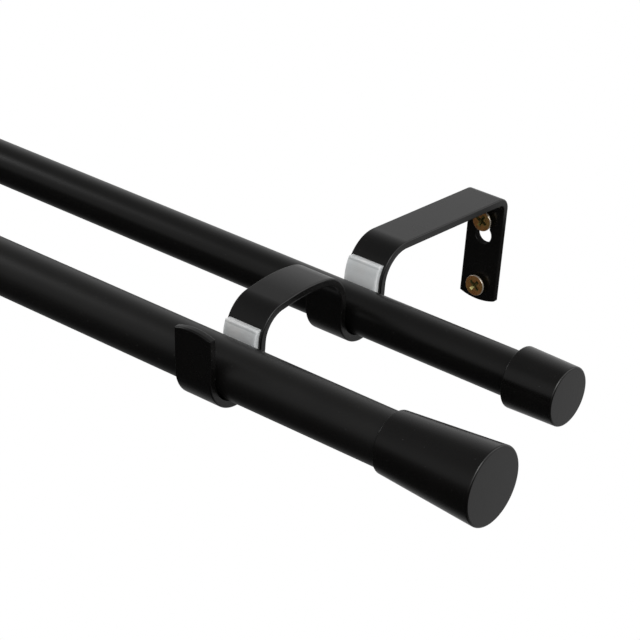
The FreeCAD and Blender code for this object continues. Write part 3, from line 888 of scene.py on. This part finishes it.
def wall_screw(name, x, z, recess_turn):
    """A countersunk cross-head screw seated in a plate's hole, its thread starting at the wall."""
    neck = SCREW_NECK / 2
    core = SCREW_CORE / 2
    head = SCREW_HEAD / 2
    cone_top = -STRAP_THICKNESS - (head - SCREW_HOLE / 2 + SEAT_CLEARANCE)
    top = cone_top - SCREW_RIM
    end = top + SCREW_LENGTH
    outline = [
        (top, 0.0), (top, head), (cone_top, head), (cone_top + head - neck, neck),
        (NECK_END, neck), (CORE_START, core), (end - SCREW_TIP, core), (end, 0.0),
    ]
    corners = [(radius, -y, 0.0) for y, radius in outline]
    sizes = {
        "Segments": SEGMENTS["screw"],
        "Core": core * MM,
        "Ridge": (SCREW_THREAD - SCREW_CORE) / 2 * MM,
        "Pitch": THREAD_PITCH * MM,
        "Thread Length": (end - SCREW_TIP - THREAD_START) * MM,
        "Tip Length": (SCREW_TIP - TIP_BARE) * MM,
        "Thread Start": THREAD_START * MM,
        "Head Face": top * MM,
        "Recess Span": RECESS_SPAN * MM,
        "Recess Width": RECESS_WIDTH * MM,
        "Recess Depth": RECESS_DEPTH * MM,
        "Recess Turn": recess_turn,
        "Place": at(x, 0, z),
    }
    rounds = [0.0, HEAD_ROUND, RIM_ROUND, 0.0, 0.0, 0.0, 0.0, 0.0]
    return grown(name, corners, rounds, screw, sizes, zinc)


for side, x in BRACKETS.items():
    seated(bracket("visual_bracket_" + side, x), "wall_frame")
    for place, pole in POLES.items():
        strip = pad("visual_" + place + "_pad_" + side, pole, PAD_WRAP[place], x)
        seated(strip, "wall_frame")
    for level, height in (("upper", SCREW_PITCH / 2), ("lower", -SCREW_PITCH / 2)):
        fixing = wall_screw("visual_" + level + "_screw_" + side, x, height, RECESS_TURNS[level])
        seated(fixing, "wall_frame")


# Stage, in metres. Each pair is where the shade round a wall plate starts and stops fading.

FLOOR_Z = -0.34
FLOOR_REACH = 4.0
FLOOR_LIFT = 0.55
WALL_Y = 0.0004
WALL_REACH = 2.5
WALL_FOOT = -0.33
WALL_TOP = 1.6
SHADE_ASIDE = (0.012, 0.03)
SHADE_TOP = (0.01, 0.022)
SHADE_FOOT = (-0.045, -0.024)


def plane(name, corners):
    """A flat stage piece from its corners."""
    mesh = bpy.data.meshes.new(name)
    mesh.from_pydata(corners, [], [range(len(corners))])
    sheet = bpy.data.objects.new(name, mesh)
    bpy.context.scene.collection.objects.link(sheet)
    return sheet


def bare_finish(name):
    """A new material with an empty tree."""
    material = bpy.data.materials.new(name)
    material.use_nodes = True
    material.node_tree.nodes.clear()
    return material, material.node_tree


def floor_finish():
    """Pale matt floor that the camera sees lifted to white, with the object's shadow kept."""
    material, tree = bare_finish("pale_floor")
    matt = add(tree, "ShaderNodeBsdfDiffuse", {"Color": grey(0.8)})
    glow = add(tree, "ShaderNodeEmission", {"Color": grey(1.0)})
    seen = add(tree, "ShaderNodeLightPath").outputs["Is Camera Ray"]
    tree.links.new(maths(tree, "MULTIPLY", seen, FLOOR_LIFT), glow.inputs["Strength"])
    both = add(tree, "ShaderNodeAddShader", {0: matt.outputs[0], 1: glow.outputs[0]})
    tree.links.new(both.outputs[0], add(tree, "ShaderNodeOutputMaterial").inputs["Surface"])
    return material


def wall_finish():
    """White wall seen from the room side; reflections see no more of it than the shade round the plates."""
    material, tree = bare_finish("white_wall")
    place = add(tree, "ShaderNodeTexCoord").outputs["Object"]
    axes = add(tree, "ShaderNodeSeparateXYZ", {"Vector": place}).outputs
    aside = maths(tree, "SUBTRACT", maths(tree, "ABSOLUTE", axes["X"]), BRACKETS["right"] * MM)
    near = ramp(tree, maths(tree, "ABSOLUTE", aside), *SHADE_ASIDE, 1.0, 0.0)
    under = ramp(tree, axes["Z"], *SHADE_TOP, 1.0, 0.0)
    over = ramp(tree, axes["Z"], *SHADE_FOOT, 0.0, 1.0)
    shade = maths(tree, "MULTIPLY", maths(tree, "MULTIPLY", near, under), over)
    glow = add(tree, "ShaderNodeEmission", {"Color": grey(1.0), "Strength": 1.0}).outputs[0]
    dim = add(tree, "ShaderNodeEmission", {"Color": grey(0.05), "Strength": 1.0}).outputs[0]
    clear = add(tree, "ShaderNodeBsdfTransparent").outputs[0]
    shaded = add(tree, "ShaderNodeMixShader", {0: shade, 1: clear, 2: dim}).outputs[0]
    mirrored = add(tree, "ShaderNodeLightPath").outputs["Is Glossy Ray"]
    room_side = add(tree, "ShaderNodeMixShader", {0: mirrored, 1: glow, 2: shaded}).outputs[0]
    behind = add(tree, "ShaderNodeNewGeometry").outputs["Backfacing"]
    either = add(tree, "ShaderNodeMixShader", {0: behind, 1: room_side, 2: clear})
    tree.links.new(either.outputs[0], add(tree, "ShaderNodeOutputMaterial").inputs["Surface"])
    return material


SQUARE = ((-1, -1), (1, -1), (1, 1), (-1, 1))
floor = plane("floor", [(x * FLOOR_REACH, y * FLOOR_REACH, FLOOR_Z) for x, y in SQUARE])
floor.data.materials.append(floor_finish())
floor.visible_glossy = False
heights = {-1: WALL_FOOT, 1: WALL_TOP}
wall = plane("wall", [(x * WALL_REACH, WALL_Y, heights[z]) for x, z in SQUARE])
wall.data.materials.append(wall_finish())
wall.visible_diffuse = False
wall.visible_transmission = False
wall.visible_shadow = False


# Light and camera. The camera, in metres, is the one solved from the photo.

FILL_LIGHT = 0.7
AZIMUTH, ELEVATION, ROLL = (math.radians(angle) for angle in (37.132135, 25.745313, 4.717449))
CAMERA_PLACE = (0.728208, -0.684029, 0.358022)
SENSOR_WIDTH = 36.0
FOCAL_LENGTH = 135.3896
CLIP = (0.05, 50.0)


def softbox(name, place, target, width, height, power):
    """A large soft lamp aimed at a point."""
    lamp = bpy.data.lights.new(name, "AREA")
    lamp.shape = "RECTANGLE"
    lamp.size = width
    lamp.size_y = height
    lamp.energy = power
    stand = bpy.data.objects.new(name, lamp)
    stand.location = place
    aim = Vector(target) - Vector(place)
    stand.rotation_euler = aim.to_track_quat("-Z", "Y").to_euler()
    bpy.context.scene.collection.objects.link(stand)


softbox("left_softbox", (-0.93, -0.50, 0.66), (0.25, -0.12, 0.0), width=0.4, height=0.4, power=1.7)
softbox("right_softbox", (1.09, -0.54, 0.84), (0.35, -0.12, 0.0), width=0.6, height=0.6, power=5.0)

world = bpy.data.worlds.new("studio")
bpy.context.scene.world = world
world.use_nodes = True
sky = world.node_tree
sky.nodes.clear()
direction = add(sky, "ShaderNodeTexCoord").outputs["Generated"]
axes = add(sky, "ShaderNodeSeparateXYZ", {"Vector": direction}).outputs


def card(first, second):
    """A part of the room, as bright as the product of two soft steps, each (axis, start, end, low, high)."""
    steps = [ramp(sky, axes[axis], *step) for axis, *step in (first, second)]
    return maths(sky, "MULTIPLY", *steps)


white_cloth = card(("Y", 0.15, 0.9, 0.0, 1.0), ("Z", -0.6, 0.3, 0.54, 0.7))
ceiling = card(("Y", 0.15, 0.9, 1.0, 0.0), ("Z", -0.45, 0.6, 0.03, 0.22))
front_card = card(("Y", -0.45, -0.85, 0.0, 1.0), ("Z", -0.1, 0.2, 0.0, 0.26))
right_card = card(("X", 0.15, 0.45, 0.0, 1.0), ("Z", 0.1, 0.35, 0.0, 1.3))
low_card = card(("Z", -0.6, -0.85, 0.0, 1.0), ("Y", -0.2, 0.3, 0.0, 0.22))
cards = maths(sky, "ADD", maths(sky, "ADD", front_card, right_card), low_card)
room = maths(sky, "ADD", maths(sky, "ADD", white_cloth, ceiling), cards)
rays = add(sky, "ShaderNodeLightPath").outputs


def pick(share, first, second):
    """One of two levels, by a share of 0 or 1."""
    return add(sky, "ShaderNodeMix", {"Factor": share, "A": first, "B": second}).outputs[0]


level = pick(rays["Is Diffuse Ray"], room, FILL_LIGHT)
bare = maths(sky, "MAXIMUM", rays["Is Camera Ray"], rays["Is Transmission Ray"])
level = pick(bare, level, 1.0)
backdrop = add(sky, "ShaderNodeBackground", {"Color": grey(1.0), "Strength": level})
sky.links.new(backdrop.outputs[0], add(sky, "ShaderNodeOutputWorld").inputs["Surface"])

back = Vector(
    (
        math.sin(AZIMUTH) * math.cos(ELEVATION),
        -math.cos(AZIMUTH) * math.cos(ELEVATION),
        math.sin(ELEVATION),
    )
)
level_right = (-back).cross(Vector((0, 0, 1))).normalized()
level_up = level_right.cross(-back)
right = level_right * math.cos(ROLL) + level_up * math.sin(ROLL)
up = level_up * math.cos(ROLL) - level_right * math.sin(ROLL)
eye = bpy.data.cameras.new("camera")
eye.sensor_width = SENSOR_WIDTH
eye.lens = FOCAL_LENGTH
eye.clip_start, eye.clip_end = CLIP
camera = bpy.data.objects.new("camera", eye)
turn = Matrix((right, up, back)).transposed().to_4x4()
camera.matrix_world = Matrix.Translation(CAMERA_PLACE) @ turn
bpy.context.scene.collection.objects.link(camera)
bpy.context.scene.camera = camera
bpy.context.scene.view_settings.view_transform = "Standard"
